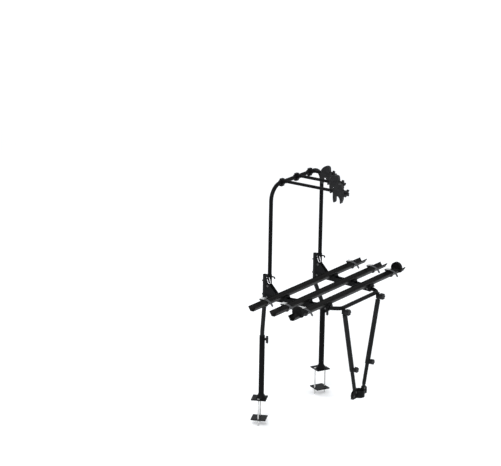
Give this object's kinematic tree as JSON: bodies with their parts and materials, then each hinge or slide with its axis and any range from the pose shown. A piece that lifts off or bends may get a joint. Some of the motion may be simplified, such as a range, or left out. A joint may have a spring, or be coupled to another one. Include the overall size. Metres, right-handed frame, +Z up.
{
  "type": "drawbar bicycle rack",
  "caption": "Bicycle rack for a trailer drawbar: wheel trays with ratchet straps on a clamped frame, and a tall hoop with long arms whose claws hold the bicycle frames.",
  "frame": {"origin": "midway between the two rear drawbar clamps, on the plane of the drawbar's top face (the underside of the upper clamp plates), in the hoop's plane", "axes": "+X along the wheel trays, -Y forward to the trailer's coupler, +Z up"},
  "size_m": [1.442, 0.7081, 1.8239],
  "materials": {
    "black_steel": "black powder coat, satin",
    "grey_steel": "dark grey powder coat, satin",
    "tray_black": "black powder coat",
    "zinc": "zinc plated",
    "dark_bolt": "black zinc plated",
    "bright_wire": "bright",
    "black_plastic": "moulded, fine grain",
    "strap_plastic": "moulded, glossy",
    "stop_rubber": "matte"
  },
  "bodies": {
    "drawbar_mount": {"sleeve_left": "black_steel", "sleeve_right": "black_steel", "lower_plates": "black_steel", "drawbar_bolts": "zinc", "jack_bands": "black_steel", "jack_bolts": "dark_bolt"},
    "carrier": {"post_left": "black_steel", "post_right": "black_steel", "bracket_left": "grey_steel", "bracket_right": "grey_steel", "bracket_bolts": "dark_bolt", "side_channel_left": "grey_steel", "side_channel_right": "grey_steel", "saddles": "grey_steel", "tray_1": "tray_black", "tray_2": "tray_black", "tray_3": "tray_black", "tray_bolts": "dark_bolt", "front_bar": "black_steel", "wheel_stops": "stop_rubber", "straps": "strap_plastic", "strap_anchors": "strap_plastic", "ratchet_bodies": "strap_plastic"},
    "hoop": {"hoop": "black_steel"},
    "arm_1": {"arm_1": "black_steel", "arm_cap_1": "black_plastic", "claw_1": "black_plastic"},
    "jaw_1": {"jaw_1": "black_plastic"},
    "claw_knob_1": {"claw_knob_1": "black_plastic"},
    "arm_2": {"arm_2": "black_steel", "arm_cap_2": "black_plastic", "claw_2": "black_plastic"},
    "jaw_2": {"jaw_2": "black_plastic"},
    "claw_knob_2": {"claw_knob_2": "black_plastic"},
    "arm_3": {"arm_3": "black_steel", "arm_cap_3": "black_plastic", "claw_3": "black_plastic"},
    "jaw_3": {"jaw_3": "black_plastic"},
    "claw_knob_3": {"claw_knob_3": "black_plastic"},
    "tee_screw_left": {"tee_screw_left": "black_plastic"},
    "hitch_pin_left": {"hitch_pin_left": "black_steel"},
    "hairpin_left": {"hairpin_left": "bright_wire"},
    "leg_outer_left": {"leg_outer_left": "black_steel"},
    "leg_inner_left": {"leg_inner_left": "grey_steel"},
    "leg_top_knob_left": {"leg_top_knob_left": "black_plastic"},
    "leg_lock_knob_left": {"leg_lock_knob_left": "black_plastic"},
    "lever_1_left": {"lever_1_left": "zinc"},
    "lever_2_left": {"lever_2_left": "zinc"},
    "lever_3_left": {"lever_3_left": "zinc"},
    "tee_screw_right": {"tee_screw_right": "black_plastic"},
    "hitch_pin_right": {"hitch_pin_right": "black_steel"},
    "hairpin_right": {"hairpin_right": "bright_wire"},
    "leg_outer_right": {"leg_outer_right": "black_steel"},
    "leg_inner_right": {"leg_inner_right": "grey_steel"},
    "leg_top_knob_right": {"leg_top_knob_right": "black_plastic"},
    "leg_lock_knob_right": {"leg_lock_knob_right": "black_plastic"},
    "lever_1_right": {"lever_1_right": "zinc"},
    "lever_2_right": {"lever_2_right": "zinc"},
    "lever_3_right": {"lever_3_right": "zinc"}
  },
  "joints": [
    {"name": "carrier_height", "type": "slide", "parent": "drawbar_mount", "child": "carrier", "axis": [0, 0, 1], "range_m": [-0.02, 0.04]},
    {"name": "leg_swing_left", "type": "hinge", "parent": "drawbar_mount", "child": "leg_inner_left", "pos_m": [-0.056, -0.5695, 0.082], "axis": [0, 1, 0], "range_deg": [-0.42, 0.84]},
    {"name": "leg_length_left", "type": "slide", "parent": "leg_inner_left", "child": "leg_outer_left", "axis": [-0.2524, 0, 0.9676], "range_m": [-0.01938, 0.03875]},
    {"name": "leg_swing_right", "type": "hinge", "parent": "drawbar_mount", "child": "leg_inner_right", "pos_m": [0.056, -0.5695, 0.082], "axis": [0, 1, 0], "range_deg": [-0.84, 0.42]},
    {"name": "leg_length_right", "type": "slide", "parent": "leg_inner_right", "child": "leg_outer_right", "axis": [0.2524, 0, 0.9676], "range_m": [-0.01938, 0.03875]},
    {"name": "hoop_fold", "type": "hinge", "parent": "carrier", "child": "hoop", "pos_m": [0, 0, 0.835], "axis": [1, 0, 0], "range_deg": [0, 45]},
    {"name": "arm_swing_1", "type": "hinge", "parent": "hoop", "child": "arm_1", "pos_m": [0.162, 0, 1.562], "axis": [-1, 0, 0], "range_deg": [0, 90]},
    {"name": "claw_screw_1", "type": "hinge", "parent": "arm_1", "child": "claw_knob_1", "pos_m": [0.162, -0.188, 1.573], "axis": [0, 1, 0], "range_deg": [0, 3600]},
    {"name": "jaw_slide_1", "type": "slide", "parent": "arm_1", "child": "jaw_1", "axis": [0, 1, 0], "range_m": [0, 0.02]},
    {"name": "arm_swing_2", "type": "hinge", "parent": "hoop", "child": "arm_2", "pos_m": [-0.008, 0, 1.562], "axis": [-1, 0, 0], "range_deg": [0, 90]},
    {"name": "claw_screw_2", "type": "hinge", "parent": "arm_2", "child": "claw_knob_2", "pos_m": [-0.008, -0.374, 1.573], "axis": [0, 1, 0], "range_deg": [0, 3600]},
    {"name": "jaw_slide_2", "type": "slide", "parent": "arm_2", "child": "jaw_2", "axis": [0, 1, 0], "range_m": [0, 0.02]},
    {"name": "arm_swing_3", "type": "hinge", "parent": "hoop", "child": "arm_3", "pos_m": [-0.192, 0, 1.562], "axis": [-1, 0, 0], "range_deg": [0, 90]},
    {"name": "claw_screw_3", "type": "hinge", "parent": "arm_3", "child": "claw_knob_3", "pos_m": [-0.192, -0.522, 1.573], "axis": [0, 1, 0], "range_deg": [0, 3600]},
    {"name": "jaw_slide_3", "type": "slide", "parent": "arm_3", "child": "jaw_3", "axis": [0, 1, 0], "range_m": [0, 0.02]},
    {"name": "tee_turn_left", "type": "hinge", "parent": "drawbar_mount", "child": "tee_screw_left", "pos_m": [-0.39, -0.03, 0.455], "axis": [0, -1, 0], "range_deg": [-720, 0]},
    {"name": "hitch_pin_turn_left", "type": "hinge", "parent": "carrier", "child": "hitch_pin_left", "pos_m": [-0.322, 0.004, 0.89], "axis": [1, 0, 0], "range_deg": [-90, 90]},
    {"name": "hairpin_draw_left", "type": "slide", "parent": "hitch_pin_left", "child": "hairpin_left", "axis": [0, -0.342, -0.9397], "range_m": [0, 0.045]},
    {"name": "leg_top_turn_left", "type": "hinge", "parent": "carrier", "child": "leg_top_knob_left", "pos_m": [-0.225, -0.5695, 0.73], "axis": [0, -1, 0], "range_deg": [-720, 0]},
    {"name": "leg_lock_turn_left", "type": "hinge", "parent": "leg_outer_left", "child": "leg_lock_knob_left", "pos_m": [-0.10563, -0.5695, 0.27231], "axis": [0, -1, 0], "range_deg": [-720, 0]},
    {"name": "lever_lift_1_left", "type": "hinge", "parent": "carrier", "child": "lever_1_left", "pos_m": [-0.558, -0.0895, 0.814], "axis": [-1, 0, 0], "range_deg": [0, 95]},
    {"name": "lever_lift_2_left", "type": "hinge", "parent": "carrier", "child": "lever_2_left", "pos_m": [-0.558, -0.2665, 0.814], "axis": [-1, 0, 0], "range_deg": [0, 95]},
    {"name": "lever_lift_3_left", "type": "hinge", "parent": "carrier", "child": "lever_3_left", "pos_m": [-0.558, -0.4215, 0.814], "axis": [-1, 0, 0], "range_deg": [0, 95]},
    {"name": "tee_turn_right", "type": "hinge", "parent": "drawbar_mount", "child": "tee_screw_right", "pos_m": [0.39, -0.03, 0.455], "axis": [0, -1, 0], "range_deg": [-720, 0]},
    {"name": "hitch_pin_turn_right", "type": "hinge", "parent": "carrier", "child": "hitch_pin_right", "pos_m": [0.322, 0.004, 0.89], "axis": [1, 0, 0], "range_deg": [-90, 90]},
    {"name": "hairpin_draw_right", "type": "slide", "parent": "hitch_pin_right", "child": "hairpin_right", "axis": [0, -0.342, -0.9397], "range_m": [0, 0.045]},
    {"name": "leg_top_turn_right", "type": "hinge", "parent": "carrier", "child": "leg_top_knob_right", "pos_m": [0.225, -0.5695, 0.73], "axis": [0, -1, 0], "range_deg": [-720, 0]},
    {"name": "leg_lock_turn_right", "type": "hinge", "parent": "leg_outer_right", "child": "leg_lock_knob_right", "pos_m": [0.10563, -0.5695, 0.27231], "axis": [0, -1, 0], "range_deg": [-720, 0]},
    {"name": "lever_lift_1_right", "type": "hinge", "parent": "carrier", "child": "lever_1_right", "pos_m": [0.558, -0.0895, 0.814], "axis": [-1, 0, 0], "range_deg": [0, 95]},
    {"name": "lever_lift_2_right", "type": "hinge", "parent": "carrier", "child": "lever_2_right", "pos_m": [0.558, -0.2665, 0.814], "axis": [-1, 0, 0], "range_deg": [0, 95]},
    {"name": "lever_lift_3_right", "type": "hinge", "parent": "carrier", "child": "lever_3_right", "pos_m": [0.558, -0.4215, 0.814], "axis": [-1, 0, 0], "range_deg": [0, 95]}
  ],
  "couplings": [
    {"joint": "leg_swing_left", "follows": "carrier_height", "rad_per_m": 0.366},
    {"joint": "leg_length_left", "follows": "carrier_height", "ratio": 0.9685},
    {"joint": "leg_swing_right", "follows": "carrier_height", "rad_per_m": -0.366},
    {"joint": "leg_length_right", "follows": "carrier_height", "ratio": 0.9685},
    {"joint": "jaw_slide_1", "follows": "claw_screw_1", "m_per_rad": 0.00031831},
    {"joint": "jaw_slide_2", "follows": "claw_screw_2", "m_per_rad": 0.00031831},
    {"joint": "jaw_slide_3", "follows": "claw_screw_3", "m_per_rad": 0.00031831}
  ]
}
